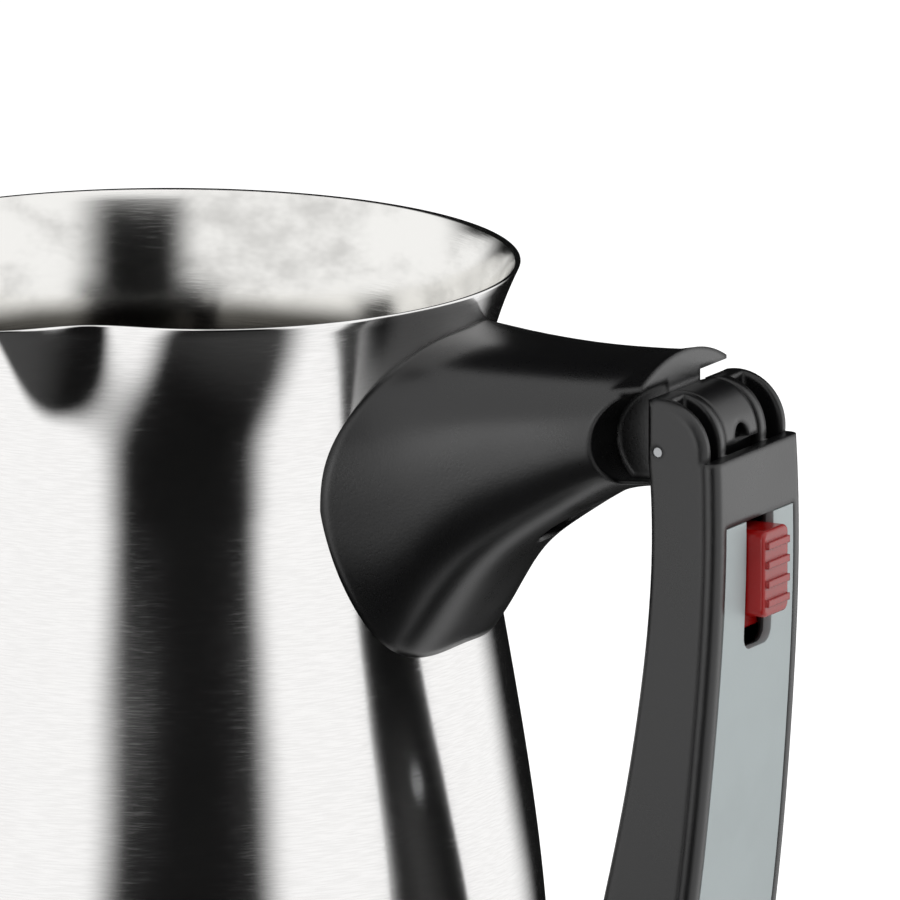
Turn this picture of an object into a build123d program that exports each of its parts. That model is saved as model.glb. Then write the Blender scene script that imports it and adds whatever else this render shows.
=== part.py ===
from build123d import *
import os
from math import cos, exp, pi, radians, sin, sqrt, tan

os.makedirs("parts", exist_ok=True)

# An electric coffee pot, in millimetres. The origin is on the pot's axis, in the plane that the foot
# ring stands on. +Z is up, +X points to the grip and -Y to the spout. A "depth" is measured down from
# the rim.

# Steel pot
rim_height = 142.0
rim_radius = 50.0
sheet = 0.8
neck_radius = 44.0
neck_depth = 28.0
flare_power = 2.3
belly_radius = 54.2
belly_depth = 110.0
belly_power = 1.19
floor_depth = 115.0
floor_corner = 4.0
ring_depths = (0, 2.5, 5, 7.5, 10, 13, 16, 20, 28, 38, 50, 62, 74, 86, 98, 108, floor_depth)
points_on_ring = 72
floor_z = rim_height - floor_depth

# Spout: a beak pressed out of the rim, with the sheet drawn in beside it
spout_depth = 19.0
spout_fade = 1.4
beak_reach = 13.0
beak_angle = 11.0
draw_in = 7.5
draw_in_angle = 26.0

# Handle bracket: a hollow horn from the pot's side to the hinge
horn_stations = (30, 38, 46, 54, 62, 70, 76, 82)
hollow_stations = (30, 38, 46, 54, 62, 71)
horn_full_x = 37.0
horn_wrap_x = 47.0
horn_end_x = horn_stations[-1]
horn_end_half_width = 12.7
horn_flare = 11.0
horn_top_depth = 5.45
horn_top_rise = 0.3
horn_top_dip = 3.6
horn_root_depth = 47.0
horn_root_lip = 5.0
horn_lip_power = 10
horn_end_depth = 23.4
horn_curve_power = 1.65
horn_end_squareness = 2.5
horn_root_squareness = 3.0
horn_wall = 2.2
points_on_horn = 40

# Visor over the hinge, at the end of the horn
visor_root_x = 74.0
visor_root_half_width = 10.6
visor_half_width = 12.9
visor_chord = 8.2
visor_rise = 3.8
visor_lip = 0.7
visor_root_drop = 1.6

# Hinge: the horn's tongue turns between the grip's ribs on a steel pin
pin_x = 84.4
pin_z = rim_height - 17.0
pin_radius = 0.75
pin_half_length = 12.6
pin_clearance = 0.05
tongue_half_width = 4.9
tongue_reach = 6.7
tongue_rise = 7.3
relief_radius = 5.6
relief_top = 0.2
swing_reach = 10.4
swing_rise = 8.6
swing_floor = 5.6
catch_radius = 2.2
catch_centre = 0.3
catch_bottom = 4.4

# Bracket screw and the steel strap that it pulls on
screw_hole_x = 63.8
screw_hole_z = 110.6
screw_hole_radius = 4.8
boss_radius = 6.6
boss_length = 9.0
boss_seat = 6.6
strap_thickness = 1.5
strap_half_width = 7.0
strap_reach = 4.6
m4_radius = 2.0
m4_clearance = 0.25
m4_head_radius = 3.6
m4_head_height = 2.4

# Grip
inner_line = ((82.4, 124), (83.1, 111), (81.4, 89), (79.2, 75), (76.2, 60.5), (69.6, 27))
outer_line = ((93.6, 124), (93.9, 108), (92.7, 85), (90.4, 61), (84.6, 27))
shoulder_z = inner_line[0][1]
foot_z = inner_line[-1][1]
grip_half_width = 12.8
grip_foot_half_width = 15.0
grip_foot_corner = 6.0
grip_round = 1.6
grip_wall = 1.6
cover_thickness = 2.0
block_foot_z = 113.6
hinge_gap = 0.35
fit_gap = 0.15
overlap = 1.0
rib_thickness = 1.7
rib_reach = 6.9
rib_rise = 7.4
ear_thickness = 1.9
ear_radius = 7.4
ear_chamfer = 0.9
ear_back_x = 82.6
web_front = 1.3
pocket_floor_z = pin_z - 6.0
insert_half_width = 10.2
insert_foot_half_width = 12.3
insert_top_z = rim_height - 27.4
insert_foot_z = 33.0
insert_corner = 1.5
insert_thickness = 1.2
grip_screws_at = ((73.3, 46.0), (79.2, 75.0))
grip_screw_radius = 1.2
grip_screw_head = 2.5
grip_screw_length = 9.0
screw_head_height = 1.5
pad_radius = 3.6
pad_start = 0.9
pad_seat = 1.8
pad_end = 3.4

# Latch
slot_half_width = 4.1
slot_foot_z = rim_height - 46.0
slot_corner = 2.0
button_half_width = 3.8
button_foot_z = rim_height - 41.2
button_height = 12.3
button_face_x = 96.5
button_corner = 1.2
ridge_count = 4
ridge_height = 0.5
ridge_width = 1.0
carriage_x = 90.1
carriage_thickness = 1.1
carriage_half_width = 6.5
carriage_foot_z = 98.2
carriage_top_z = 112.4
bolt_radius = 1.9
bolt_flat = 0.8
bolt_top_z = pin_z - 7.7
bolt_gap = 0.3
arm_foot_z = 101.0
arm_top_z = 104.0
arm_half_width = 3.0
spring_x = 87.6
spring_radius = 2.0
spring_wire = 0.3
spring_turns = 7
spring_foot_z = 84.0
seat_back_x = 81.6
seat_front_x = 90.2
seat_thickness = 2.0
seat_half_width = 4.0

# Base
collar_top_z = 30.0
collar_radius = 56.3
base_foot_radius = 57.4
base_wall = 2.2
collar_round = 1.2
collar_gap = 0.15
shell_foot_z = 2.5
ledge_z = 24.5
ledge_radius = 48.0
gasket_height = 1.2
gasket_width = 1.9
gasket_round = 0.8
lug_angles = (20, 140, 260)
lug_radius = 41.0
lug_half_width = 5.5
lug_z = 19.0
lug_thickness = 3.0
boss_angles = (45, 225, 315)
cover_boss_circle = 51.0
cover_boss_radius = 3.6
cover_boss_top_z = 16.0
cover_screw_radius = 1.4
cover_screw_head = 2.8
cover_screw_head_height = 1.5
cover_hole_end_z = 15.0
cover_screw_end_z = 13.0
bottom_radius = 53.6
bottom_thickness = 2.5
foot_ring_inner = 40.0
foot_ring_outer = 46.0
foot_groove = 0.6

# Heater
heater_radius = 46.0
heater_thickness = 2.5
element_circle = 31.0
element_radius = 3.0
element_start = -5.0
element_arc = 290.0
terminal_radius = 1.4
terminal_length = 8.0
stud_foot_z = 13.0
nut_flats = 7.0
nut_height = 3.2
thermostat_radius = 8.0
thermostat_cap_height = 4.0
thermostat_body_radius = 7.2
thermostat_body_height = 7.0
thermostat_tab_reach = 12.2
thermostat_half_gap = 4.0
thermostat_round = 0.6
tab_half_width = 2.0
tab_thickness = 1.0
fuse_x = 18.0
fuse_radius = 2.0
fuse_half_length = 6.0

# Power inlet on +Y
inlet_face_y = 59.0
inlet_half_width = 14.2
inlet_half_height = 9.6
inlet_z = 14.75
inlet_back_y = 40.0
inlet_flange = 2.2
inlet_flange_thickness = 1.5
socket_half_width = 12.2
socket_half_height = 8.0
socket_chamfer = 3.5
socket_depth = 17.0
blade_spacing = 14.0
blade_offset = 4.0
blade_width = 2.0
blade_height = 4.0
blade_length = 14.0
blade_tail = 4.0
inlet_pad_half_width = 19.0
pad_round = 2.0

# Rocker switch on -X
switch_face_x = -58.6
switch_half_width = 9.6
switch_half_height = 6.5
switch_z = 15.0
switch_back_x = -44.0
switch_flange = 1.2
switch_pad_half_width = 13.0
switch_floor_x = -52.5
rocker_x = -57.0
rocker_wall = 0.9
rocker_gap = 0.35
rocker_tilt = 9.0
rocker_rise = 2.0
rocker_edge = 1.0
rocker_keel = 3.5
trunnion_radius = 1.0
tab_end_x = -39.0
tab_spacing = 10.0

# Leads inside the base
lead_radius = 1.1
lead_bend = 2.5
lead_z = 9.0


def wall_radius(depth):
    if depth < neck_depth:
        return neck_radius + (rim_radius - neck_radius) * (1 - depth / neck_depth) ** flare_power
    fall = min(1.0, (depth - neck_depth) / (belly_depth - neck_depth))
    return neck_radius + (belly_radius - neck_radius) * sin(pi / 2 * fall**belly_power)


def spout_swell(depth, from_spout):
    fade = max(0.0, 1 - depth / spout_depth) ** spout_fade
    beak = beak_reach * exp(-((from_spout / beak_angle) ** 2))
    pinch = draw_in * exp(-((from_spout / draw_in_angle) ** 2))
    return fade * (beak - pinch)


def ring_points(depth, inset):
    points = []
    for index in range(points_on_ring):
        from_spout = index * 360 / points_on_ring - 180
        radius = wall_radius(depth) - inset + spout_swell(depth, from_spout)
        points.append((radius * cos(radians(from_spout - 90)), radius * sin(radians(from_spout - 90))))
    return points


def vessel(inset):
    with BuildPart() as form:
        for depth in ring_depths:
            lift = inset if depth == floor_depth else 0
            with BuildSketch(Plane.XY.offset(rim_height - depth + lift)):
                with BuildLine():
                    Spline(*ring_points(depth, inset), periodic=True)
                make_face()
        loft()
        fillet(form.edges().group_by(Axis.Z)[0], radius=floor_corner - inset)
    return form.part


def horn_outline(x, inset):
    root = (horn_end_x - x) / (horn_end_x - horn_full_x)
    along = min(1.0, (horn_end_x - x) / (horn_end_x - horn_wrap_x))
    half_width = horn_end_half_width + horn_flare * root**2 - inset
    bottom = horn_end_depth + (horn_root_depth - horn_end_depth) * along**horn_curve_power - inset
    bottom += horn_root_lip * along**horn_lip_power
    top = horn_top_depth - horn_top_rise * along + horn_top_dip * along * (1 - along) + inset
    squareness = horn_end_squareness + (horn_root_squareness - horn_end_squareness) * along
    points = []
    for index in range(points_on_horn):
        angle = 2 * pi * index / points_on_horn
        reach = (abs(cos(angle)) ** squareness + abs(sin(angle)) ** squareness) ** (-1 / squareness)
        rise = (bottom - top) / 2 * reach * sin(angle)
        points.append((half_width * reach * cos(angle), rim_height - (bottom + top) / 2 + rise))
    return points


def horn(stations, inset):
    with BuildPart() as form:
        for x in stations:
            with BuildSketch(Plane.YZ.offset(x)):
                with BuildLine():
                    Spline(*horn_outline(x, inset), periodic=True)
                make_face()
        loft()
    return form.part


def shifted(line, shift):
    return [(x + shift, z) for x, z in line]


def side_slab(back, front):
    with BuildPart() as form:
        with BuildSketch(Plane.XZ.offset(-2 * grip_half_width)):
            with BuildLine():
                Spline(*back)
                Line(back[-1], front[-1])
                Spline(*front)
                Line(back[0], front[0])
            make_face()
        extrude(amount=4 * grip_half_width)
    return form.part


def front_form(top_half_width, foot_half_width, top_z, low_z, corner):
    with BuildPart() as form:
        with BuildSketch(Plane.YZ.offset(horn_full_x)) as front:
            with BuildLine():
                Polyline(
                    (-top_half_width, top_z),
                    (-foot_half_width, low_z),
                    (foot_half_width, low_z),
                    (top_half_width, top_z),
                    close=True,
                )
            make_face()
            fillet(front.vertices().group_by(Axis.Y)[0], radius=corner)
        extrude(amount=2 * horn_full_x)
    return form.part


def half_moon(plane, radius, flat, length):
    with BuildPart() as form:
        with BuildSketch(plane):
            with Locations((0, catch_centre)):
                Circle(radius)
            with Locations((0, flat)):
                Rectangle(2 * radius, 2 * radius, align=(Align.CENTER, Align.MIN), mode=Mode.INTERSECT)
        extrude(amount=length)
    return form.part


pot_outside = vessel(0)

with BuildPart() as pot_body:
    add(pot_outside)
    add(vessel(sheet), mode=Mode.SUBTRACT)
pot_body.part.label = "pot_body"
export_step(pot_body.part, "parts/pot_body.step")

# Handle bracket. The screw goes in from below, square to the horn's underside.
screw_plane = Plane(origin=(screw_hole_x, 0, screw_hole_z), x_dir=(0, 1, 0), z_dir=(-1, 0, 1))

with BuildPart() as horn_boss:
    with BuildSketch(screw_plane.offset(-boss_length / 2)):
        Circle(boss_radius)
    extrude(amount=1.5 * boss_length)
    add(horn(horn_stations, 0), mode=Mode.INTERSECT)

with BuildPart() as handle_bracket:
    add(horn(horn_stations, 0))
    for x, half_width, chord_z in (
        (visor_root_x, visor_root_half_width, pin_z + visor_chord - visor_root_drop),
        (horn_end_x, visor_half_width, pin_z + visor_chord),
    ):
        with BuildSketch(Plane.YZ.offset(x)):
            with BuildLine():
                lip_z = chord_z + visor_lip
                ThreePointArc((-half_width, lip_z), (0, chord_z + visor_rise), (half_width, lip_z))
                Polyline(
                    (-half_width, lip_z),
                    (-half_width, chord_z),
                    (half_width, chord_z),
                    (half_width, lip_z),
                )
            make_face()
    loft()
    add(horn(hollow_stations, horn_wall), mode=Mode.SUBTRACT)
    add(horn_boss.part)
    for side in (-1, 1):
        with BuildSketch(Plane.XZ.offset(side * tongue_half_width)):
            with Locations((pin_x, pin_z)):
                Ellipse(swing_reach, swing_rise)
            with Locations((horn_end_x, pin_z - swing_floor)):
                Rectangle(
                    2 * swing_reach + horn_wall,
                    swing_rise,
                    align=(Align.CENTER, Align.MAX),
                    mode=Mode.SUBTRACT,
                )
        extrude(amount=side * grip_half_width, mode=Mode.SUBTRACT)
    with BuildSketch(Plane.XZ):
        with Locations((pin_x, pin_z)):
            Ellipse(tongue_reach, tongue_rise)
            with Locations((0, relief_top)):
                Rectangle(
                    2 * tongue_reach, 2 * tongue_rise, align=(Align.MIN, Align.MAX), mode=Mode.SUBTRACT
                )
            Circle(relief_radius)
    extrude(amount=tongue_half_width, both=True)
    for outward in ((1, 0, 0), (0, 0, -1)):
        catch_start = Vector(pin_x, 0, pin_z) + Vector(*outward) * catch_bottom
        catch_plane = Plane(catch_start, x_dir=(0, 1, 0), z_dir=outward)
        add(half_moon(catch_plane, catch_radius, catch_centre, tongue_rise), mode=Mode.SUBTRACT)
    with BuildSketch(Plane.XZ):
        with Locations((pin_x, pin_z)):
            Circle(pin_radius + pin_clearance)
    extrude(amount=grip_half_width, both=True, mode=Mode.SUBTRACT)
    with BuildSketch(screw_plane.offset(-boss_length)):
        Circle(screw_hole_radius)
    extrude(amount=boss_length + boss_seat, mode=Mode.SUBTRACT)
    with BuildSketch(screw_plane):
        Circle(m4_radius + m4_clearance)
    extrude(amount=1.5 * boss_length, mode=Mode.SUBTRACT)
    add(pot_outside, mode=Mode.SUBTRACT)
handle_bracket.part.label = "handle_bracket"
export_step(handle_bracket.part, "parts/handle_bracket.step")

with BuildPart() as weld_strap:
    strap_x = screw_hole_x - (boss_length + strap_thickness / 2) * sqrt(0.5)
    strap_z = screw_hole_z + (boss_length + strap_thickness / 2) * sqrt(0.5)
    with BuildSketch(Plane.XZ):
        with BuildLine():
            Polyline(
                (neck_radius - sheet, strap_z - strap_reach),
                (strap_x - strap_reach, strap_z - strap_reach),
                (strap_x + strap_reach, strap_z + strap_reach),
                (strap_x, strap_z + 2 * strap_reach),
                (neck_radius - sheet, strap_z + 2 * strap_reach),
            )
        trace(line_width=strap_thickness)
    extrude(amount=strap_half_width, both=True)
    with BuildSketch(screw_plane):
        Circle(m4_radius)
    extrude(amount=2 * boss_length, mode=Mode.SUBTRACT)
    add(pot_outside, mode=Mode.SUBTRACT)
weld_strap.part.label = "weld_strap"
export_step(weld_strap.part, "parts/weld_strap.step")

with BuildPart() as bracket_screw:
    with BuildSketch(screw_plane.offset(boss_seat - m4_head_height)):
        Circle(m4_head_radius)
    extrude(amount=m4_head_height)
    with BuildSketch(screw_plane.offset(boss_seat)):
        Circle(m4_radius)
    extrude(amount=boss_length)
bracket_screw.part.label = "bracket_screw"
export_step(bracket_screw.part, "parts/bracket_screw.step")

# Grip: one outline, parted into the inner moulding and the cover along a seam
seam_line = shifted(outer_line, -cover_thickness)
beyond = 3 * cover_thickness

with BuildPart() as grip_outline:
    add(side_slab(inner_line, outer_line))
    add(
        front_form(grip_half_width, grip_foot_half_width, shoulder_z, foot_z, grip_foot_corner),
        mode=Mode.INTERSECT,
    )
    long_edges = grip_outline.faces().filter_by(GeomType.EXTRUSION).edges()
    fillet(long_edges.filter_by(lambda edge: edge.center().Z < shoulder_z - overlap), radius=grip_round)

with BuildPart() as channel:
    add(side_slab(shifted(inner_line, grip_wall), shifted(outer_line, beyond)))
    add(
        front_form(
            grip_half_width - grip_wall,
            grip_foot_half_width - grip_wall,
            block_foot_z,
            foot_z + 2 * grip_wall,
            grip_foot_corner - grip_wall,
        ),
        mode=Mode.INTERSECT,
    )

with BuildPart() as grip_body:
    add(grip_outline.part)
    add(side_slab(seam_line, shifted(outer_line, beyond)), mode=Mode.SUBTRACT)
    add(channel.part, mode=Mode.SUBTRACT)
    rib_inside = tongue_half_width + hinge_gap
    ear_inside = grip_half_width - ear_thickness
    web_inside = rib_inside + rib_thickness / 2
    for y, thickness, reach, rise, front, taper in (
        (rib_inside, rib_thickness, rib_reach, rib_rise, ear_radius, 0),
        (ear_inside, ear_thickness - ear_chamfer, ear_radius, ear_radius, ear_radius, 0),
        (grip_half_width - ear_chamfer, ear_chamfer, ear_radius, ear_radius, ear_radius, 45),
        (web_inside, ear_inside - web_inside + ear_thickness / 2, rib_reach, rib_rise, web_front, 0),
    ):
        for side in (-1, 1):
            with BuildSketch(Plane.XZ.offset(side * y)):
                with Locations((pin_x, pin_z)):
                    Ellipse(reach, rise)
                with Locations((ear_back_x, shoulder_z - overlap)):
                    Rectangle(
                        pin_x + front - ear_back_x,
                        2 * rise,
                        align=(Align.MIN, Align.MIN),
                        mode=Mode.INTERSECT,
                    )
            extrude(amount=side * thickness, taper=taper)
    for side in (-1, 1):
        with BuildSketch(Plane.XZ.offset(side * (rib_inside + rib_thickness))):
            with Locations((pin_x + web_front, pocket_floor_z)):
                Rectangle(2 * ear_radius, ear_radius, align=(Align.MIN, Align.MIN))
        extrude(amount=side * (ear_inside - rib_inside - rib_thickness), mode=Mode.SUBTRACT)
    with BuildSketch(Plane.XZ):
        with Locations((pin_x, pin_z)):
            Circle(tongue_rise + hinge_gap)
    extrude(amount=rib_inside, both=True, mode=Mode.SUBTRACT)
    guide_plane = Plane(origin=(pin_x, 0, pin_z), x_dir=(0, 1, 0), z_dir=(0, 0, -1))
    guide_length = pin_z - block_foot_z + overlap
    guide = half_moon(guide_plane, bolt_radius + bolt_gap, bolt_flat - bolt_gap, guide_length)
    add(guide, mode=Mode.SUBTRACT)
    with BuildSketch(Plane.XZ):
        with Locations((pin_x, pin_z)):
            Circle(pin_radius)
    extrude(amount=2 * grip_half_width, both=True, mode=Mode.SUBTRACT)
    with BuildSketch(Plane.XY.offset(spring_foot_z)):
        with Locations((seat_back_x, 0)):
            Rectangle(seat_front_x - seat_back_x, 2 * seat_half_width, align=(Align.MIN, Align.CENTER))
    extrude(amount=-seat_thickness)
    for x, z in grip_screws_at:
        with BuildSketch(Plane((x + pad_start, 0, z), z_dir=(1, 0, 0))):
            Circle(pad_radius)
        extrude(amount=pad_end - pad_start)
        with BuildSketch(Plane((x - pad_end, 0, z), z_dir=(1, 0, 0))):
            Circle(grip_screw_head + fit_gap)
        extrude(amount=pad_end + pad_seat, mode=Mode.SUBTRACT)
        with BuildSketch(Plane((x, 0, z), z_dir=(1, 0, 0))):
            Circle(grip_screw_radius + fit_gap)
        extrude(amount=pad_end, mode=Mode.SUBTRACT)
grip_body.part.label = "grip_body"
export_step(grip_body.part, "parts/grip_body.step")

with BuildPart() as cover_bosses:
    for x, z in grip_screws_at:
        with BuildSketch(Plane((x + pad_end, 0, z), z_dir=(1, 0, 0))):
            Circle(pad_radius)
        extrude(amount=2 * grip_screw_length)
    add(grip_outline.part, mode=Mode.INTERSECT)

with BuildPart() as slot:
    with BuildSketch(Plane.YZ.offset(carriage_x)) as slot_outline:
        with Locations((0, slot_foot_z)):
            Rectangle(2 * slot_half_width, insert_top_z - slot_foot_z, align=(Align.CENTER, Align.MIN))
        fillet(slot_outline.vertices().group_by(Axis.Y)[0], radius=slot_corner)
    extrude(amount=beyond)


def insert_form(front_shift, margin):
    with BuildPart() as form:
        add(side_slab(shifted(outer_line, -insert_thickness), shifted(outer_line, front_shift)))
        add(
            front_form(
                insert_half_width - margin,
                insert_foot_half_width - margin,
                insert_top_z - margin,
                insert_foot_z + margin,
                insert_corner,
            ),
            mode=Mode.INTERSECT,
        )
    return form.part


with BuildPart() as grip_cover:
    add(grip_outline.part)
    add(side_slab(shifted(inner_line, -beyond), seam_line), mode=Mode.SUBTRACT)
    add(cover_bosses.part)
    add(insert_form(beyond, 0), mode=Mode.SUBTRACT)
    add(slot.part, mode=Mode.SUBTRACT)
    for x, z in grip_screws_at:
        with BuildSketch(Plane((x, 0, z), z_dir=(1, 0, 0))):
            Circle(grip_screw_radius)
        extrude(amount=pad_seat + grip_screw_length, mode=Mode.SUBTRACT)
grip_cover.part.label = "grip_cover"
export_step(grip_cover.part, "parts/grip_cover.step")

with BuildPart() as grip_insert:
    add(insert_form(0, fit_gap))
    add(slot.part, mode=Mode.SUBTRACT)
grip_insert.part.label = "grip_insert"
export_step(grip_insert.part, "parts/grip_insert.step")

with BuildPart() as grip_screws:
    for x, z in grip_screws_at:
        with BuildSketch(Plane((x + pad_seat - screw_head_height, 0, z), z_dir=(1, 0, 0))):
            Circle(grip_screw_head)
        extrude(amount=screw_head_height)
        with BuildSketch(Plane((x + pad_seat, 0, z), z_dir=(1, 0, 0))):
            Circle(grip_screw_radius)
        extrude(amount=grip_screw_length)
grip_screws.part.label = "grip_screws"
export_step(grip_screws.part, "parts/grip_screws.step")

with BuildPart() as hinge_pin:
    with BuildSketch(Plane.XZ.offset(-pin_half_length)):
        with Locations((pin_x, pin_z)):
            Circle(pin_radius)
    extrude(amount=2 * pin_half_length)
hinge_pin.part.label = "hinge_pin"
export_step(hinge_pin.part, "parts/hinge_pin.step")

# Latch: the button, its carriage behind the cover, and the bolt that reaches up to the tongue
with BuildPart() as latch_slider:
    with BuildSketch(Plane.YZ.offset(carriage_x)):
        with Locations((0, button_foot_z + button_height / 2)):
            RectangleRounded(2 * button_half_width, button_height, button_corner)
    extrude(amount=button_face_x - carriage_x)
    fillet(latch_slider.faces().sort_by(Axis.X)[-1].edges(), radius=ridge_height)
    ridge_step = button_height / (ridge_count + 0.5)
    for index in range(ridge_count):
        height = button_foot_z + (index + 0.75) * ridge_step
        with BuildSketch(Plane.YZ.offset(button_face_x - ridge_height)):
            with Locations((0, height)):
                Rectangle(2 * button_half_width - button_corner, ridge_width)
        extrude(amount=2 * ridge_height)
    with BuildSketch(Plane.YZ.offset(carriage_x)):
        with Locations((0, carriage_foot_z)):
            Rectangle(
                2 * carriage_half_width, carriage_top_z - carriage_foot_z, align=(Align.CENTER, Align.MIN)
            )
    extrude(amount=carriage_thickness)
    bolt_back_x = pin_x + bolt_flat
    with BuildSketch(Plane.XY.offset(arm_foot_z)):
        with Locations((bolt_back_x, 0)):
            Rectangle(carriage_x - bolt_back_x, 2 * arm_half_width, align=(Align.MIN, Align.CENTER))
    extrude(amount=arm_top_z - arm_foot_z)
    bolt_plane = Plane(origin=(pin_x, 0, bolt_top_z), x_dir=(0, 1, 0), z_dir=(0, 0, -1))
    add(half_moon(bolt_plane, bolt_radius, bolt_flat, bolt_top_z - arm_foot_z))
latch_slider.part.label = "latch_slider"
export_step(latch_slider.part, "parts/latch_slider.step")

with BuildPart() as latch_spring:
    spring_rise = arm_foot_z - spring_foot_z - 2 * spring_wire
    with BuildLine():
        coil = Helix(
            spring_rise / spring_turns,
            spring_rise,
            spring_radius,
            center=(spring_x, 0, spring_foot_z + spring_wire),
        )
    with BuildSketch(Plane(coil @ 0, z_dir=coil % 0)):
        Circle(spring_wire)
    sweep()
latch_spring.part.label = "latch_spring"
export_step(latch_spring.part, "parts/latch_spring.step")


# Base
def ring(inner_radius, outer_radius, low_z, top_z):
    with BuildPart() as form:
        with BuildSketch(Plane.XY.offset(low_z)):
            Circle(outer_radius)
            Circle(inner_radius, mode=Mode.SUBTRACT)
        extrude(amount=top_z - low_z)
    return form.part


def spots(radius, angles):
    return [(radius * cos(radians(angle)), radius * sin(radians(angle))) for angle in angles]


with BuildPart() as base_inside:
    with BuildSketch(Plane.XY):
        Circle(collar_radius - base_wall)
    extrude(amount=ledge_z)
    with BuildSketch(Plane.XY.offset(ledge_z)):
        Circle(ledge_radius)
    extrude(amount=collar_top_z)
    with BuildSketch(Plane.XY.offset(floor_z)):
        Circle(belly_radius + collar_gap)
    extrude(amount=collar_top_z)

with BuildPart() as base_shell:
    with BuildSketch(Plane.XZ):
        with BuildLine():
            Polyline(
                (ledge_radius - base_wall, shell_foot_z),
                (base_foot_radius, shell_foot_z),
                (base_foot_radius, shell_foot_z + base_wall),
                (collar_radius, collar_top_z),
                (ledge_radius - base_wall, collar_top_z),
                close=True,
            )
        make_face()
    revolve(axis=Axis.Z)
    collar_edge = base_shell.edges().group_by(Axis.Z)[-1].sort_by(lambda edge: edge.length)[-1:]
    fillet(collar_edge, radius=collar_round)
    with BuildSketch(Plane.XY.offset(shell_foot_z)) as inlet_pad:
        with Locations((0, inlet_face_y / 2)):
            Rectangle(2 * inlet_pad_half_width, inlet_face_y)
        fillet(inlet_pad.vertices(), radius=pad_round)
    extrude(amount=floor_z - shell_foot_z)
    with BuildSketch(Plane.XY.offset(shell_foot_z)) as switch_pad:
        with Locations((switch_face_x / 2, 0)):
            Rectangle(-switch_face_x, 2 * switch_pad_half_width)
        fillet(switch_pad.vertices(), radius=pad_round)
    extrude(amount=floor_z - shell_foot_z)
    add(base_inside.part, mode=Mode.SUBTRACT)
    with BuildSketch(Plane.XZ.offset(-inlet_face_y - 1)):
        with Locations((0, inlet_z)):
            Rectangle(2 * inlet_half_width, 2 * inlet_half_height)
    extrude(amount=inlet_face_y - inlet_back_y, mode=Mode.SUBTRACT)
    with BuildSketch(Plane.YZ.offset(switch_face_x - 1)):
        with Locations((0, switch_z)):
            Rectangle(2 * switch_half_width, 2 * switch_half_height)
    extrude(amount=switch_back_x - switch_face_x, mode=Mode.SUBTRACT)
    for angle in lug_angles:
        lug_plane = Plane(origin=(0, 0, lug_z), x_dir=(cos(radians(angle)), sin(radians(angle)), 0))
        with BuildSketch(lug_plane):
            with Locations((lug_radius - lug_half_width, 0)):
                Rectangle(
                    collar_radius - base_wall / 2 - lug_radius + lug_half_width,
                    2 * lug_half_width,
                    align=(Align.MIN, Align.CENTER),
                )
            with Locations((lug_radius, 0)):
                Circle(m4_radius + m4_clearance, mode=Mode.SUBTRACT)
        extrude(amount=lug_thickness)
    with BuildSketch(Plane.XY.offset(shell_foot_z + bottom_thickness)):
        with Locations(*spots(cover_boss_circle, boss_angles)):
            Circle(cover_boss_radius)
    extrude(amount=cover_boss_top_z - shell_foot_z - bottom_thickness)
    with BuildSketch(Plane.XY.offset(shell_foot_z)):
        with Locations(*spots(cover_boss_circle, boss_angles)):
            Circle(cover_screw_radius)
    extrude(amount=cover_hole_end_z - shell_foot_z, mode=Mode.SUBTRACT)
base_shell.part.label = "base_shell"
export_step(base_shell.part, "parts/base_shell.step")

with BuildPart() as base_gasket:
    add(ring(belly_radius, belly_radius + gasket_width, collar_top_z, collar_top_z + gasket_height))
    gasket_edge = base_gasket.edges().group_by(Axis.Z)[-1].sort_by(lambda edge: edge.length)[-1:]
    fillet(gasket_edge, radius=gasket_round)
    add(pot_outside, mode=Mode.SUBTRACT)
base_gasket.part.label = "base_gasket"
export_step(base_gasket.part, "parts/base_gasket.step")

with BuildPart() as bottom_cover:
    with BuildSketch(Plane.XY.offset(shell_foot_z)):
        Circle(bottom_radius)
        with Locations(*spots(cover_boss_circle, boss_angles)):
            Circle(cover_screw_radius + fit_gap, mode=Mode.SUBTRACT)
    extrude(amount=bottom_thickness)
    add(ring(foot_ring_inner, foot_ring_outer, shell_foot_z, shell_foot_z + foot_groove), mode=Mode.SUBTRACT)
bottom_cover.part.label = "bottom_cover"
export_step(bottom_cover.part, "parts/bottom_cover.step")

with BuildPart() as foot_ring:
    add(ring(foot_ring_inner, foot_ring_outer, 0, shell_foot_z + foot_groove))
foot_ring.part.label = "foot_ring"
export_step(foot_ring.part, "parts/foot_ring.step")

with BuildPart() as cover_screws:
    with BuildSketch(Plane.XY.offset(shell_foot_z)):
        with Locations(*spots(cover_boss_circle, boss_angles)):
            Circle(cover_screw_head)
    extrude(amount=-cover_screw_head_height)
    with BuildSketch(Plane.XY.offset(shell_foot_z)):
        with Locations(*spots(cover_boss_circle, boss_angles)):
            Circle(cover_screw_radius)
    extrude(amount=cover_screw_end_z - shell_foot_z)
cover_screws.part.label = "cover_screws"
export_step(cover_screws.part, "parts/cover_screws.step")

# Heater under the pot's floor
heater_z = floor_z - heater_thickness

with BuildPart() as heater_plate:
    with BuildSketch(Plane.XY.offset(heater_z)):
        Circle(heater_radius)
    extrude(amount=heater_thickness)
heater_plate.part.label = "heater_plate"
export_step(heater_plate.part, "parts/heater_plate.step")

with BuildPart() as heating_element:
    with BuildLine():
        sheath = CenterArc((0, 0, heater_z - element_radius), element_circle, element_start, element_arc)
    with BuildSketch(Plane(sheath @ 0, z_dir=sheath % 0)):
        Circle(element_radius)
    sweep()
heating_element.part.label = "heating_element"
export_step(heating_element.part, "parts/heating_element.step")

with BuildPart() as element_terminals:
    for end, outward in ((0, -1), (1, 1)):
        with BuildSketch(Plane(sheath @ end, z_dir=(sheath % end) * outward)):
            Circle(terminal_radius)
        extrude(amount=terminal_length)
element_terminals.part.label = "element_terminals"
export_step(element_terminals.part, "parts/element_terminals.step")

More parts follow.
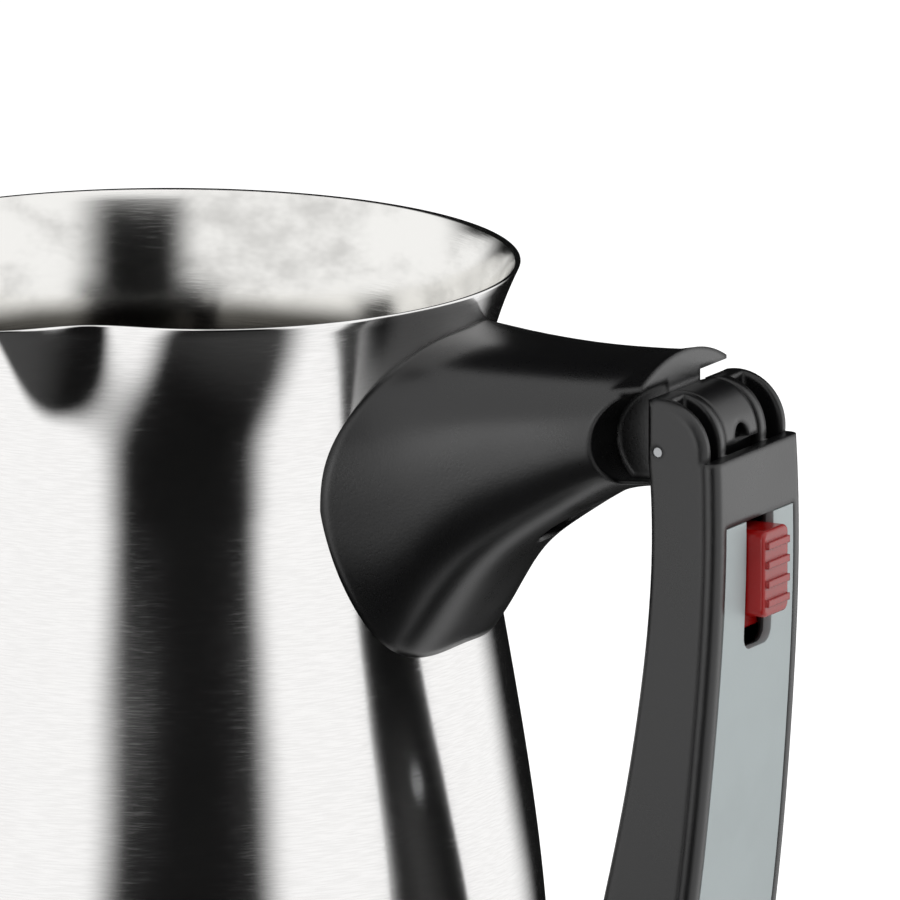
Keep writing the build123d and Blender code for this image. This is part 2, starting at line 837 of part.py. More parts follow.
with BuildPart() as pot_studs:
    with BuildSketch(Plane.XY.offset(stud_foot_z)):
        with Locations(*spots(lug_radius, lug_angles)):
            Circle(m4_radius)
    extrude(amount=heater_z - stud_foot_z)
pot_studs.part.label = "pot_studs"
export_step(pot_studs.part, "parts/pot_studs.step")

with BuildPart() as stud_nuts:
    with BuildSketch(Plane.XY.offset(lug_z)):
        with Locations(*spots(lug_radius, lug_angles)):
            RegularPolygon(nut_flats / 2, 6, major_radius=False)
            Circle(m4_radius, mode=Mode.SUBTRACT)
    extrude(amount=-nut_height)
stud_nuts.part.label = "stud_nuts"
export_step(stud_nuts.part, "parts/stud_nuts.step")

cap_z = heater_z - thermostat_cap_height
body_z = cap_z - thermostat_body_height

with BuildPart() as thermostat_cap:
    with BuildSketch(Plane.XY.offset(cap_z)):
        Circle(thermostat_radius)
    extrude(amount=thermostat_cap_height)
    fillet(thermostat_cap.edges().group_by(Axis.Z)[-1], radius=thermostat_round)
thermostat_cap.part.label = "thermostat_cap"
export_step(thermostat_cap.part, "parts/thermostat_cap.step")

with BuildPart() as thermostat_tabs:
    with BuildSketch(Plane.XY.offset(body_z)):
        Rectangle(2 * thermostat_tab_reach, 2 * tab_half_width)
        Rectangle(2 * thermostat_half_gap, 2 * tab_half_width, mode=Mode.SUBTRACT)
    extrude(amount=tab_thickness)
thermostat_tabs.part.label = "thermostat_tabs"
export_step(thermostat_tabs.part, "parts/thermostat_tabs.step")

with BuildPart() as thermostat_body:
    with BuildSketch(Plane.XY.offset(body_z)):
        Circle(thermostat_body_radius)
    extrude(amount=thermostat_body_height)
    fillet(thermostat_body.edges().group_by(Axis.Z)[0], radius=thermostat_round)
    add(thermostat_tabs.part, mode=Mode.SUBTRACT)
thermostat_body.part.label = "thermostat_body"
export_step(thermostat_body.part, "parts/thermostat_body.step")

with BuildPart() as thermal_fuse:
    with BuildSketch(Plane.XZ.offset(-fuse_half_length)):
        with Locations((fuse_x, heater_z - fuse_radius)):
            Circle(fuse_radius)
    extrude(amount=2 * fuse_half_length)
thermal_fuse.part.label = "thermal_fuse"
export_step(thermal_fuse.part, "parts/thermal_fuse.step")

with BuildPart() as fuse_clip:
    with BuildSketch(Plane.XZ.offset(-fuse_half_length / 3)):
        with Locations((fuse_x, heater_z - fuse_radius)):
            for radius, mode in ((fuse_radius + tab_thickness, Mode.ADD), (fuse_radius, Mode.SUBTRACT)):
                Circle(radius, mode=mode)
                Rectangle(2 * radius, fuse_radius, align=(Align.CENTER, Align.MIN), mode=mode)
        with Locations((fuse_x, heater_z)):
            Rectangle(4 * fuse_radius, fuse_radius, align=(Align.CENTER, Align.MIN), mode=Mode.SUBTRACT)
    extrude(amount=2 * fuse_half_length / 3)
fuse_clip.part.label = "fuse_clip"
export_step(fuse_clip.part, "parts/fuse_clip.step")

# Power inlet: a flanged moulding with a recess for the plug, and three blades in it
socket_floor_y = inlet_face_y + inlet_flange_thickness - socket_depth
blades = [
    (-blade_spacing / 2, -blade_offset / 2),
    (blade_spacing / 2, -blade_offset / 2),
    (0, blade_offset / 2),
]

with BuildPart() as inlet_blades:
    with BuildSketch(Plane.XZ.offset(blade_tail - inlet_back_y)):
        with Locations((0, inlet_z)):
            with Locations(*blades):
                Rectangle(blade_width, blade_height)
    extrude(amount=inlet_back_y - blade_tail - socket_floor_y - blade_length)
inlet_blades.part.label = "inlet_blades"
export_step(inlet_blades.part, "parts/inlet_blades.step")

with BuildPart() as power_inlet:
    with BuildSketch(Plane.XZ.offset(-inlet_face_y)):
        with Locations((0, inlet_z)):
            Rectangle(2 * (inlet_half_width - fit_gap), 2 * (inlet_half_height - fit_gap))
    extrude(amount=inlet_face_y - inlet_back_y)
    with BuildSketch(Plane.XZ.offset(-inlet_face_y - inlet_flange_thickness)):
        with Locations((0, inlet_z)):
            RectangleRounded(
                2 * (inlet_half_width + inlet_flange), 2 * inlet_half_height + inlet_flange, pad_round
            )
    extrude(amount=inlet_flange_thickness)
    with BuildSketch(Plane.XZ.offset(-inlet_face_y - inlet_flange_thickness)) as socket:
        with Locations((0, inlet_z)):
            Rectangle(2 * socket_half_width, 2 * socket_half_height)
        chamfer(socket.vertices().group_by(Axis.Y)[-1], length=socket_chamfer)
    extrude(amount=socket_depth, mode=Mode.SUBTRACT)
    add(inlet_blades.part, mode=Mode.SUBTRACT)
power_inlet.part.label = "power_inlet"
export_step(power_inlet.part, "parts/power_inlet.step")

# Rocker switch: the rocker turns on two trunnions, and rests with its +Y end pressed in
bezel_x = switch_face_x - switch_flange
pocket_half_width = switch_half_width - fit_gap - rocker_wall
pocket_half_height = switch_half_height - fit_gap - rocker_wall
tab_spots = [(-tab_spacing / 2, switch_z), (tab_spacing / 2, switch_z)]

with BuildPart() as switch_tabs:
    with BuildSketch(Plane.YZ.offset(switch_floor_x + 2 * rocker_wall)):
        with Locations(*tab_spots):
            Rectangle(tab_thickness, 2 * tab_half_width)
    extrude(amount=tab_end_x - switch_floor_x - 2 * rocker_wall)
switch_tabs.part.label = "switch_tabs"
export_step(switch_tabs.part, "parts/switch_tabs.step")

with BuildPart() as switch_housing:
    with BuildSketch(Plane.YZ.offset(bezel_x)):
        with Locations((0, switch_z)):
            Rectangle(2 * (switch_half_width - fit_gap), 2 * (switch_half_height - fit_gap))
    extrude(amount=switch_back_x - bezel_x)
    with BuildSketch(Plane.YZ.offset(bezel_x)):
        with Locations((0, switch_z)):
            RectangleRounded(
                2 * (switch_half_width + switch_flange),
                2 * (switch_half_height + switch_flange),
                switch_flange,
            )
    extrude(amount=switch_flange)
    with BuildSketch(Plane.YZ.offset(bezel_x)):
        with Locations((0, switch_z)):
            Rectangle(2 * pocket_half_width, 2 * pocket_half_height)
    extrude(amount=switch_floor_x - bezel_x, mode=Mode.SUBTRACT)
    with BuildSketch(Plane.XY.offset(switch_z - switch_half_height)):
        with Locations((rocker_x, 0)):
            Circle(trunnion_radius + pin_clearance)
    extrude(amount=2 * switch_half_height, mode=Mode.SUBTRACT)
    add(switch_tabs.part, mode=Mode.SUBTRACT)
switch_housing.part.label = "switch_housing"
export_step(switch_housing.part, "parts/switch_housing.step")

with BuildPart() as switch_rocker:
    rocker_half_height = pocket_half_height - rocker_gap
    rocker_foot = (rocker_x, 0, switch_z - rocker_half_height)
    rocker_plane = Plane(origin=rocker_foot, x_dir=(0, -1, 0), z_dir=(0, 0, 1))
    with BuildSketch(rocker_plane.rotated((0, 0, -rocker_tilt))):
        slope = pocket_half_width * tan(radians(rocker_tilt))
        with BuildLine():
            Polyline(
                (0, -rocker_rise),
                (pocket_half_width, -rocker_rise - slope),
                (pocket_half_width, rocker_edge),
                (rocker_keel, rocker_keel),
                (-rocker_keel, rocker_keel),
                (-pocket_half_width, rocker_edge),
                (-pocket_half_width, -rocker_rise - slope),
                close=True,
            )
        make_face()
        Circle(pocket_half_width - rocker_gap, mode=Mode.INTERSECT)
    extrude(amount=2 * rocker_half_height)
    with BuildSketch(Plane.XY.offset(switch_z - pocket_half_height - rocker_wall)):
        with Locations((rocker_x, 0)):
            Circle(trunnion_radius)
    extrude(amount=2 * (pocket_half_height + rocker_wall))
switch_rocker.part.label = "switch_rocker"
export_step(switch_rocker.part, "parts/switch_rocker.step")

# Leads, each butted on two terminals
blade_y = inlet_back_y - blade_tail
line_z = inlet_z - blade_offset / 2
earth_z = inlet_z + blade_offset / 2
tab_z = body_z + tab_thickness / 2
fuse_z = heater_z - fuse_radius
first_tip = sheath @ 0 - (sheath % 0) * terminal_length
last_tip = sheath @ 1 + (sheath % 1) * terminal_length
earth_x, earth_y = spots(lug_radius, lug_angles)[1]
routes = {
    "wire_live": (
        (-blade_spacing / 2, blade_y, line_z),
        (-blade_spacing / 2, blade_y - 8, line_z),
        (-24, 12, lead_z),
        (tab_end_x + 6, tab_spacing / 2, switch_z),
        (tab_end_x, tab_spacing / 2, switch_z),
    ),
    "wire_switched": (
        (tab_end_x, -tab_spacing / 2, switch_z),
        (tab_end_x + 7, -tab_spacing / 2, switch_z),
        (-20, 0, tab_z),
        (-thermostat_tab_reach, 0, tab_z),
    ),
    "wire_link": (
        (thermostat_tab_reach, 0, tab_z),
        (fuse_x + 4, 0, tab_z),
        (fuse_x + 5, fuse_half_length + 8, 18),
        (fuse_x, fuse_half_length + 8, fuse_z),
        (fuse_x, fuse_half_length, fuse_z),
    ),
    "wire_fuse": (
        (fuse_x, -fuse_half_length, fuse_z),
        (fuse_x, -fuse_half_length - 11, fuse_z),
        first_tip - (sheath % 0) * 6.5,
        first_tip,
    ),
    "wire_neutral": (
        (blade_spacing / 2, blade_y, line_z),
        (blade_spacing / 2, blade_y - 8, line_z),
        (22, 14, lead_z),
        (24, -20, lead_z),
        last_tip + (sheath % 1) * 8.5,
        last_tip,
    ),
    "wire_earth": (
        (0, blade_y, earth_z),
        (0, blade_y - 5, earth_z),
        (-16, blade_y - 5, earth_z),
        (earth_x, earth_y, lead_z - 1),
        (earth_x, earth_y, stud_foot_z),
    ),
}
for name, points in routes.items():
    with BuildPart() as lead:
        with BuildLine():
            route = FilletPolyline(*points, radius=lead_bend)
        with BuildSketch(Plane(route @ 0, z_dir=route % 0)):
            Circle(lead_radius)
        sweep()
    lead.part.label = name
    export_step(lead.part, "parts/" + name + ".step")
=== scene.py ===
import math

import bmesh
import bpy
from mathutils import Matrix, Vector


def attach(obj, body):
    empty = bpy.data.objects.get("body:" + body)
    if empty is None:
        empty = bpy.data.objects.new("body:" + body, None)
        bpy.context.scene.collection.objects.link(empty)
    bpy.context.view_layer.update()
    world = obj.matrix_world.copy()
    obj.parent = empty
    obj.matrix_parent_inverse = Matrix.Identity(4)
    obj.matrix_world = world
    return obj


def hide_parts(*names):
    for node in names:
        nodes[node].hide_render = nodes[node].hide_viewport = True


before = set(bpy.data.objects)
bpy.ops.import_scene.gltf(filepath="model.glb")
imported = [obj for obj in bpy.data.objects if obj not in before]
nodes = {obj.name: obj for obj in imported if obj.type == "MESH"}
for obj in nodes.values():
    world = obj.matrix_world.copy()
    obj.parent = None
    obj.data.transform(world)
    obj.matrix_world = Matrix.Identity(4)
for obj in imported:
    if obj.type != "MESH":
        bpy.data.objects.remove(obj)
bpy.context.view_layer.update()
print("frame loaded:", len(nodes), "nodes")


class Flow:
    # wraps one output socket, so that sums and products add their Math nodes
    def __init__(self, finish, socket):
        self.finish = finish
        self.socket = socket

    def math(self, operation, *values):
        return self.finish.add("ShaderNodeMath", {"operation": operation}, values)

    def __add__(self, other):
        return self.math("ADD", self, other)

    def __radd__(self, other):
        return self.math("ADD", other, self)

    def __sub__(self, other):
        return self.math("SUBTRACT", self, other)

    def __rsub__(self, other):
        return self.math("SUBTRACT", other, self)

    def __mul__(self, other):
        return self.math("MULTIPLY", self, other)

    def __rmul__(self, other):
        return self.math("MULTIPLY", other, self)

    def __truediv__(self, other):
        return self.math("DIVIDE", self, other)

    def step(self, low, high, start=0.0, end=1.0):
        # smooth ramp from start to end as the value goes from low to high
        return self.finish.add(
            "ShaderNodeMapRange",
            {"interpolation_type": "SMOOTHSTEP"},
            {"Value": self, "From Min": low, "From Max": high, "To Min": start, "To Max": end},
        )


class Finish:
    # the node tree of one material, or of the world
    def __init__(self, owner):
        self.owner = owner
        owner.use_nodes = True
        self.tree = owner.node_tree
        self.tree.nodes.clear()

    def add(self, kind, settings=None, values=None, out=0):
        node = self.tree.nodes.new(kind)
        for name, setting in (settings or {}).items():
            setattr(node, name, setting)
        pairs = values.items() if isinstance(values, dict) else enumerate(values or ())
        for key, value in pairs:
            if isinstance(value, Flow):
                self.tree.links.new(value.socket, node.inputs[key])
            else:
                node.inputs[key].default_value = value
        return Flow(self, node.outputs[out]) if node.outputs else None

    def mix(self, factor, first, second):
        # 6 and 7 are the Mix node's colour inputs and 2 is its colour output
        return self.add(
            "ShaderNodeMix", {"data_type": "RGBA"}, {"Factor": factor, 6: first, 7: second}, out=2
        )

    def noise(self, vector, scale, detail=2.0, roughness=0.5):
        return self.add(
            "ShaderNodeTexNoise", None,
            {"Vector": vector, "Scale": scale, "Detail": detail, "Roughness": roughness},
        )

    def place(self):
        # object coordinates, in metres
        return self.add("ShaderNodeTexCoord", out=3)

    def level(self, vector):
        return self.add("ShaderNodeSeparateXYZ", None, (vector,), out=2)

    def vector(self, operation, *values, out=0):
        return self.add("ShaderNodeVectorMath", {"operation": operation}, values, out)

    def bump(self, height, distance, strength=1.0, rounded=None):
        values = {"Height": height, "Distance": distance, "Strength": strength}
        if rounded:
            values["Normal"] = self.add("ShaderNodeBevel", {"samples": 6}, {"Radius": rounded})
        return self.add("ShaderNodeBump", None, values)

    def surface(self, **sockets):
        values = {name.replace("_", " "): value for name, value in sockets.items()}
        shader = self.add("ShaderNodeBsdfPrincipled", None, values)
        self.add("ShaderNodeOutputMaterial", None, {"Surface": shader})
        return self.owner


def newFinish(name):
    return Finish(bpy.data.materials.new(name))


def addObject(name, data):
    thing = bpy.data.objects.new(name, data)
    bpy.context.scene.collection.objects.link(thing)
    return thing


def tone(red, green=None, blue=None):
    # display values 0-255 to a linear colour
    rgb = (red, red if green is None else green, red if blue is None else blue)
    return tuple((v / 255 / 12.92) if v < 11 else ((v / 255 + 0.055) / 1.055) ** 2.4 for v in rgb) + (1.0,)


def shade(colour, share):
    return tuple(min(1.0, c * share) for c in colour[:3]) + (1.0,)


def dress(material, pieces):
    for name in pieces:
        mesh = nodes[name].data
        mesh.materials.clear()
        mesh.materials.append(material)


# brushed round the pot, with fine scratches and soft dents; inside, painted shade darkens the wall below a
# height band, and random stains take the same dark colour
steelLook = {
    "light": tone(249, 248, 247), "dark": tone(241, 240, 239),
    # the dark inside colour and its height band are painted shade; the random stains reuse that colour
    "inside": tone(243, 242, 239), "paintedShadeAndStain": tone(98, 96, 92), "paintedShadeBand": (0.1245, 0.1285),
    "stainScale": 55, "stainStretch": (1, 1, 1.6), "stainShare": 0.35,
    "grooveTurns": 14.0, "groovePitch": 0.0002, "grooveDepth": 0.000003,
    "scratchTurns": 16.0, "scratchPitch": 0.00022, "scratchRoughness": 0.045,
    "cloudScale": 70, "cloudRoughness": 0.04,
    "dentScale": 38, "dentShare": 90,
    "roughness": 0.11, "anisotropy": 0.5, "brushedWay": 0.25,
}


def brushedSteel():
    look = steelLook
    f = newFinish("brushedSteel")
    place = f.place()
    outward = f.vector("NORMALIZE", f.vector("MULTIPLY", place, (1, 1, 0)))
    height = f.level(place)
    normal = f.add("ShaderNodeNewGeometry", out=1)
    facing = f.vector("DOT_PRODUCT", normal, outward, out=1)
    inside = facing.step(-0.3, 0.0, 1.0, 0.0)

    def grooves(turns, pitch):
        upright = f.add("ShaderNodeCombineXYZ", None, {"Z": height / pitch})
        spun = f.vector("MULTIPLY", outward, (turns, turns, 0))
        return f.noise(f.vector("ADD", spun, upright), 1.0, 1.0, 0.6)

    fine = grooves(look["grooveTurns"], look["groovePitch"])
    scratch = grooves(look["scratchTurns"], look["scratchPitch"]).step(0.5, 0.75)
    dents = f.noise(place, look["dentScale"], 1.0, 0.4)
    cloudy = f.noise(place, look["cloudScale"], 3.0, 0.6)
    stretched = f.vector("MULTIPLY", place, look["stainStretch"])
    stained = f.noise(stretched, look["stainScale"], 4.0, 0.65).step(0.45, 0.75)
    outer = f.mix(fine.step(0.3, 0.7), look["dark"], look["light"])
    # painted shade: the inside wall below the band height is painted the dark colour
    paintedShadeWall = f.mix(height.step(*look["paintedShadeBand"]), look["paintedShadeAndStain"], look["inside"])
    # random stains mix in toward the same painted shade colour
    inner = f.mix(stained * look["stainShare"], paintedShadeWall, look["paintedShadeAndStain"])
    return f.surface(
        Base_Color=f.mix(inside, outer, inner),
        Metallic=1.0,
        Roughness=look["roughness"] + look["scratchRoughness"] * scratch + look["cloudRoughness"] * cloudy,
        Anisotropic=look["anisotropy"],
        Anisotropic_Rotation=look["brushedWay"],
        Normal=f.bump(fine + look["dentShare"] * dents, look["grooveDepth"]),
    )


# what a plastic has unless its own line says otherwise
moulding = {
    "roughness": 0.42, "grain": 0.00002, "rounded": 0.0005, "mottle": 0.12, "index": 1.5,
    "poreScale": 2600, "poreRoughness": 0.06, "poreStrength": 0.6,
    "driftScale": 60, "driftRoughness": 0.1,
}
plastics = {
    "blackPlastic": {
        "colour": tone(10, 10, 11), "roughness": 0.29, "rounded": 0.0012, "index": 1.62,
        "pieces": ("handle_bracket", "grip_body", "grip_cover"),
    },
    "baseBlack": {
        "colour": tone(15, 15, 16), "roughness": 0.44, "grain": 0.00004,
        "pieces": ("base_shell", "switch_housing"),
    },
    "darkPlastic": {
        "colour": tone(26, 26, 28), "roughness": 0.55, "grain": 0.00005,
        "pieces": ("bottom_cover", "power_inlet"),
    },
    "greyPlastic": {
        "colour": tone(158, 167, 168), "roughness": 0.4, "mottle": 0.04, "rounded": 0.0002,
        "pieces": ("grip_insert",),
    },
    "redPlastic": {
        "colour": tone(140, 9, 8), "roughness": 0.22, "mottle": 0.1, "rounded": 0.0004, "index": 1.56,
        "pieces": ("latch_slider", "switch_rocker"),
    },
    "blackRubber": {
        "colour": tone(24, 24, 24), "roughness": 0.72, "grain": 0.00006,
        "pieces": ("base_gasket", "foot_ring"),
    },
    "phenolic": {
        "colour": tone(84, 52, 36), "roughness": 0.5,
        "pieces": ("thermostat_body",),
    },
    "fuseCeramic": {
        "colour": tone(232, 228, 218), "roughness": 0.6, "mottle": 0.05,
        "pieces": ("thermal_fuse",),
    },
}


def mouldedPlastic(name):
    look = {**moulding, **plastics[name]}
    colour = look["colour"]
    f = newFinish(name)
    place = f.place()
    pores = f.noise(place, look["poreScale"], 2.0, 0.6)
    drift = f.noise(place, look["driftScale"], 3.0, 0.55)
    darker = shade(colour, 1 - look["mottle"])
    lighter = shade(colour, 1 + look["mottle"])
    uneven = look["driftRoughness"] * (drift - 0.5) + look["poreRoughness"] * (pores - 0.5)
    return f.surface(
        Base_Color=f.mix(drift.step(0.3, 0.7), darker, lighter),
        Roughness=look["roughness"] + uneven,
        IOR=look["index"],
        Normal=f.bump(pores, look["grain"], look["poreStrength"], look["rounded"]),
    )


# small metal pieces, with a drawn grain and a little tarnish
metalGrain = {
    "stretch": (900, 900, 120), "depth": 0.00001, "strength": 0.5, "roughness": 0.14, "rounded": 0.0002,
    "tarnishScale": 180, "tarnishShade": 0.8, "tarnishRoughness": 0.1,
}
metals = {
    "zincSteel": {
        "colour": tone(190, 192, 194), "roughness": 0.3,
        "pieces": (
            "weld_strap", "bracket_screw", "grip_screws", "hinge_pin", "latch_spring", "cover_screws",
            "pot_studs", "stud_nuts", "element_terminals", "fuse_clip",
        ),
    },
    "castAluminium": {
        "colour": tone(206, 206, 208), "roughness": 0.42,
        "pieces": ("heater_plate", "heating_element", "thermostat_cap"),
    },
    "contactBrass": {
        "colour": tone(214, 184, 112), "roughness": 0.28,
        "pieces": ("thermostat_tabs", "inlet_blades", "switch_tabs"),
    },
}


def plainMetal(name):
    colour = metals[name]["colour"]
    grain = metalGrain
    f = newFinish(name)
    place = f.place()
    scratches = f.noise(f.vector("MULTIPLY", place, grain["stretch"]), 1.0, 3.0, 0.6)
    tarnish = f.noise(place, grain["tarnishScale"], 3.0, 0.6)
    uneven = grain["roughness"] * (scratches - 0.5) + grain["tarnishRoughness"] * tarnish
    return f.surface(
        Base_Color=f.mix(tarnish.step(0.35, 0.75), colour, shade(colour, grain["tarnishShade"])),
        Metallic=1.0,
        Roughness=metals[name]["roughness"] + uneven,
        Normal=f.bump(scratches, grain["depth"], grain["strength"], grain["rounded"]),
    )


# woven sleeves of the leads inside the base
weaveLook = {
    "scale": 1800, "depth": 0.00003, "strength": 0.5, "roughness": 0.5, "weaveRoughness": 0.1,
    "dustScale": 140, "dustShade": 1.3, "dustLift": 0.01,
}
sleeves = {
    "brownSleeve": {
        "colour": tone(96, 56, 36),
        "pieces": ("wire_live", "wire_switched", "wire_link", "wire_fuse"),
    },
    "blueSleeve": {"colour": tone(44, 88, 160), "pieces": ("wire_neutral",)},
    "greenSleeve": {"colour": tone(86, 146, 54), "pieces": ("wire_earth",)},
}


def wovenSleeve(name):
    colour = sleeves[name]["colour"]
    look = weaveLook
    f = newFinish(name)
    place = f.place()
    weave = f.noise(place, look["scale"], 2.0, 0.5)
    dusty = f.noise(place, look["dustScale"], 3.0, 0.6)
    pale = tuple(min(1.0, c * look["dustShade"] + look["dustLift"]) for c in colour[:3]) + (1.0,)
    return f.surface(
        Base_Color=f.mix(dusty.step(0.4, 0.75), colour, pale),
        Roughness=look["roughness"] + look["weaveRoughness"] * weave,
        Normal=f.bump(weave, look["depth"], look["strength"]),
    )


steel = brushedSteel()
for make, looks in ((mouldedPlastic, plastics), (plainMetal, metals), (wovenSleeve, sleeves)):
    for name, look in looks.items():
        dress(make(name), look["pieces"])
print("finishes done")


# the steel pot, spun with a pressed spout and a rolled lip; lengths in metres, angles in degrees
pot = {
    "rimHeight": 0.142, "rimRadius": 0.050, "sheet": 0.0008,
    "neckRadius": 0.044, "neckDepth": 0.028, "flarePower": 2.3,
    "bellyRadius": 0.0542, "bellyDepth": 0.110, "bellyPower": 1.19,
    "floorDepth": 0.115, "floorCorner": 0.004,
    "spoutDepth": 0.019, "spoutFade": 1.4,
    "beakReach": 0.013, "beakAngle": 11.0, "drawIn": 0.0075, "drawInAngle": 26.0,
    "segments": 288, "rows": 96, "arcSteps": 8,
}


def wallRadius(depth):
    if depth < pot["neckDepth"]:
        flare = (1 - depth / pot["neckDepth"]) ** pot["flarePower"]
        return pot["neckRadius"] + (pot["rimRadius"] - pot["neckRadius"]) * flare
    fall = min(1.0, (depth - pot["neckDepth"]) / (pot["bellyDepth"] - pot["neckDepth"]))
    swell = math.sin(math.pi / 2 * fall ** pot["bellyPower"])
    return pot["neckRadius"] + (pot["bellyRadius"] - pot["neckRadius"]) * swell


def spoutSwell(depth, fromSpout):
    fade = max(0.0, 1 - depth / pot["spoutDepth"]) ** pot["spoutFade"]
    beak = pot["beakReach"] * math.exp(-((fromSpout / pot["beakAngle"]) ** 2))
    pinch = pot["drawIn"] * math.exp(-((fromSpout / pot["drawInAngle"]) ** 2))
    return fade * (beak - pinch)


def potProfile():
    # pairs of depth and inset: up the outside, over the lip and down the inside
    half = pot["sheet"] / 2
    rows = pot["rows"]
    steps = pot["arcSteps"]
    corner = pot["floorCorner"]
    inside = corner - pot["sheet"]
    wallEnd = pot["floorDepth"] - corner
    points = []
    for i in range(steps + 1):
        bend = math.pi / 2 * i / steps
        points.append((wallEnd + corner * math.cos(bend), corner * (1 - math.sin(bend))))
    for i in range(1, rows):
        points.append((wallEnd + (half - wallEnd) * i / rows, 0.0))
    for i in range(steps + 1):
        bend = math.pi * i / steps
        points.append((half - half * math.sin(bend), half - half * math.cos(bend)))
    for i in range(1, rows):
        points.append((half + (wallEnd - half) * i / rows, pot["sheet"]))
    for i in range(steps + 1):
        bend = math.pi / 2 * i / steps
        points.append((wallEnd + inside * math.sin(bend), pot["sheet"] + inside * (1 - math.cos(bend))))
    return points


def makePot():
    mesh = bmesh.new()
    count = pot["segments"]
    rings = []
    for depth, inset in potProfile():
        ring = []
        for i in range(count):
            fromSpout = i * 360 / count - 180
            radius = wallRadius(depth) - inset + spoutSwell(depth, fromSpout)
            around = math.radians(fromSpout - 90)
            spot = (radius * math.cos(around), radius * math.sin(around), pot["rimHeight"] - depth)
            ring.append(mesh.verts.new(spot))
        rings.append(ring)
    for low, high in zip(rings, rings[1:]):
        for i in range(count):
            mesh.faces.new((low[i], low[(i + 1) % count], high[(i + 1) % count], high[i]))
    for ring, flip in ((rings[0], True), (rings[-1], False)):
        centre = mesh.verts.new((0, 0, ring[0].co.z))
        for i in range(count):
            fan = (ring[i], ring[(i + 1) % count], centre)
            mesh.faces.new(fan[::-1] if flip else fan)
    bmesh.ops.recalc_face_normals(mesh, faces=mesh.faces)
    data = bpy.data.meshes.new("steelPot")
    mesh.to_mesh(data)
    mesh.free()
    for face in data.polygons:
        face.use_smooth = True
    body = addObject("steelPot", data)
    data.materials.append(steel)
    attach(body, "pot")
    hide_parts("pot_body")


makePot()
print("pot done")


view = {
    "azimuth": 27.84, "elevation": 12.11, "distance": 4.0, "frameWidth": 0.12662,
    "side": 0.03991, "height": 0.11451, "sensor": 36, "clip": (0.05, 20),
}
azimuth = math.radians(view["azimuth"])
elevation = math.radians(view["elevation"])
right = Vector((math.cos(azimuth), math.sin(azimuth), 0))
toward = Vector((math.sin(azimuth), -math.cos(azimuth), 0))
back = toward * math.cos(elevation) + Vector((0, 0, math.sin(elevation)))
target = right * view["side"] + Vector((0, 0, view["height"]))


def makeCamera():
    data = bpy.data.cameras.new("camera")
    camera = addObject("camera", data)
    data.sensor_width = view["sensor"]
    data.lens = view["sensor"] * view["distance"] / view["frameWidth"]
    data.clip_start, data.clip_end = view["clip"]
    camera.location = target + back * view["distance"]
    camera.rotation_mode = "QUATERNION"
    camera.rotation_quaternion = back.to_track_quat("Z", "Y")
    bpy.context.scene.camera = camera


# the unlit sides of the room that metal mirrors; bearings are degrees round from the camera's side
room = {
    "light": 0.62, "dark": 0.995, "highFrom": (0.15, 0.28),
    "lowLeft": (-26, -12), "lowRight": (27, 40),
    "raisedLeft": (-14, 1), "raisedRight": (18, 38), "raisedTop": (0.55, 0.75),
    "rearFrom": 130, "rearBlend": 20, "rearWiden": 80, "rearMirror": 22,
}


def darkSides(f, direction, height, wide=1.0, rearFrom=room["rearFrom"]):
    # share of darkness by bearing from the pot and by height
    across = f.vector("DOT_PRODUCT", direction, tuple(right), out=1)
    ahead = f.vector("DOT_PRODUCT", direction, tuple(toward), out=1)
    bearing = across.math("ARCTAN2", across, ahead) * (180 / math.pi)
    high = height.step(*room["highFrom"])
    near = bearing * wide
    low = near.step(*room["lowLeft"]) * near.step(*room["lowRight"], 1.0, 0.0)
    raised = near.step(*room["raisedLeft"]) * near.step(*room["raisedRight"], 1.0, 0.0)
    raised = raised * height.step(*room["raisedTop"], 1.0, 0.0)
    behind = bearing.math("MAXIMUM", bearing, room["rearMirror"] * high - bearing)
    rear = (behind + room["rearWiden"] * (1 - wide)).step(rearFrom, rearFrom + room["rearBlend"])
    return low * (1 - high) + raised * high + rear


# paper floor: white to the camera, and to metal the foot of the dark sides; distances in metres
paper = {
    "halfSide": 4.0, "squares": 8, "colour": tone(238), "glow": 0.45,
    "darkWithin": (0.08, 0.25), "darkShare": (0.94, 0.995),
    "widerWithin": (0.1, 0.3), "wide": (0.7, 1.0), "rearFrom": 126,
}


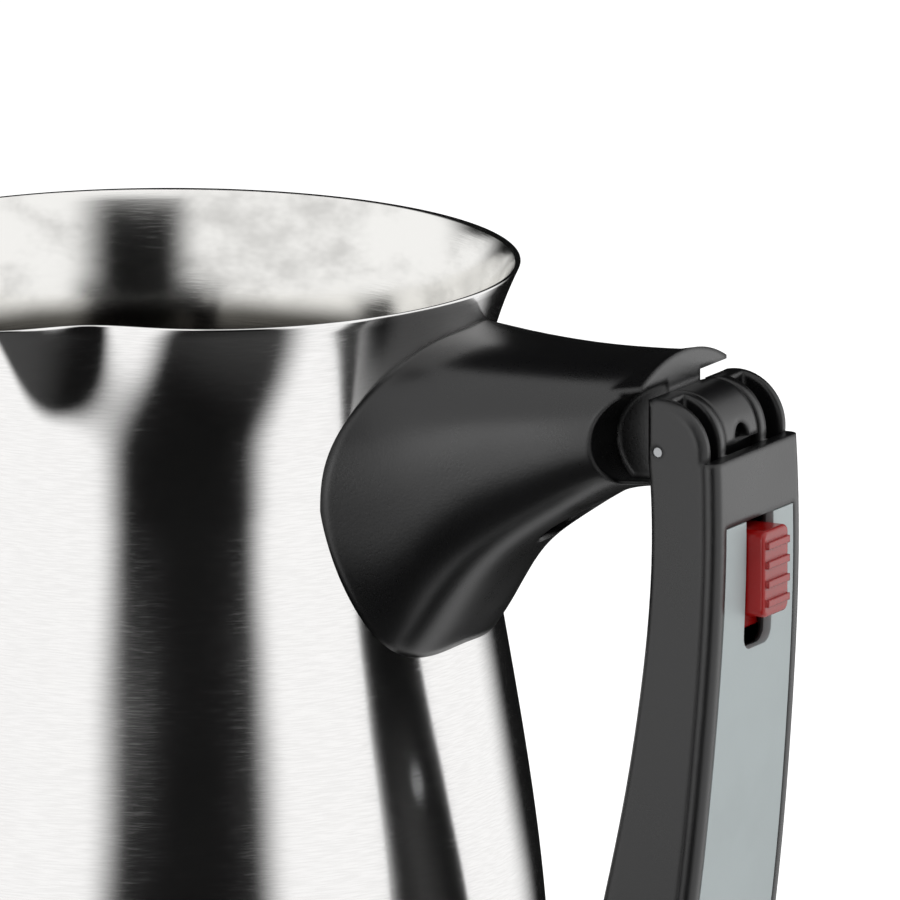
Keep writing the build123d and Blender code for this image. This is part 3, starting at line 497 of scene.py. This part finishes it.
def makeFloor():
    mesh = bmesh.new()
    squares = paper["squares"]
    bmesh.ops.create_grid(mesh, x_segments=squares, y_segments=squares, size=paper["halfSide"])
    data = bpy.data.meshes.new("floor")
    mesh.to_mesh(data)
    mesh.free()
    addObject("floor", data)
    f = newFinish("floorPaper")
    camera = f.add("ShaderNodeLightPath")
    glossy = f.add("ShaderNodeLightPath", out=3)
    diffuse = f.add("ShaderNodeBsdfDiffuse", None, {"Color": paper["colour"]})
    glow = f.add("ShaderNodeEmission", None, {"Color": tone(255), "Strength": camera * paper["glow"]})
    plain = f.add("ShaderNodeAddShader", None, (diffuse, glow))
    spot = f.place()
    distance = f.vector("LENGTH", spot, out=1)
    deepest = distance.step(*paper["darkWithin"], *paper["darkShare"])
    wide = distance.step(*paper["widerWithin"], *paper["wide"])
    dark = deepest * darkSides(f, spot, f.level(spot), wide, paper["rearFrom"])
    mirrored = f.add("ShaderNodeEmission", None, {"Strength": 1 - dark})
    shader = f.add("ShaderNodeMixShader", None, (glossy, plain, mirrored))
    f.add("ShaderNodeOutputMaterial", None, {"Surface": shader})
    data.materials.append(f.owner)


def makeWorld():
    world = bpy.data.worlds.new("studio")
    bpy.context.scene.world = world
    f = Finish(world)
    direction = f.add("ShaderNodeTexCoord")
    dark = darkSides(f, direction, f.level(direction))
    camera = f.add("ShaderNodeLightPath")
    glossy = f.add("ShaderNodeLightPath", out=3)
    level = room["light"] * (1 - glossy) + glossy * (1 - room["dark"] * dark)
    shown = level * (1 - camera) + camera
    background = f.add("ShaderNodeBackground", None, {"Color": tone(255), "Strength": shown})
    f.add("ShaderNodeOutputWorld", None, {"Surface": background})


# each place is metres right, toward the camera and up; the sheens light the handle's pieces only
lamps = {
    "keyBox": {"place": (-0.75, 0.45, 1.0), "size": (1.2, 1.0), "power": 6, "sheen": False},
    "fillBox": {"place": (0.95, 0.35, 0.9), "size": (1.0, 1.0), "power": 6, "sheen": False},
    "leftSheen": {"place": (-0.12, 0.42, 0.1), "size": (0.27, 0.19), "power": 0.18, "sheen": True},
    "rightSheen": {"place": (0.41, -0.2, 0.09), "size": (0.34, 0.24), "power": 0.12, "sheen": True},
}
lampAim = Vector((0.03, 0, 0.08))
sheenPieces = ("handle_bracket", "grip_body", "grip_cover", "grip_insert", "latch_slider")


def makeLamps():
    sheenTakers = bpy.data.collections.new("sheenTakers")
    for name in sheenPieces:
        sheenTakers.objects.link(nodes[name])
    for name, look in lamps.items():
        data = bpy.data.lights.new(name, "AREA")
        data.shape = "RECTANGLE"
        data.size, data.size_y = look["size"]
        data.energy = look["power"]
        lamp = addObject(name, data)
        side, near, up = look["place"]
        lamp.location = right * side + toward * near + Vector((0, 0, up))
        lamp.rotation_mode = "QUATERNION"
        lamp.rotation_quaternion = (lamp.location - lampAim).to_track_quat("Z", "Y")
        if look["sheen"]:
            lamp.light_linking.receiver_collection = sheenTakers
        else:
            lamp.visible_glossy = False


makeCamera()
makeFloor()
makeWorld()
makeLamps()
bpy.context.scene.view_settings.view_transform = "Standard"
print("studio done")
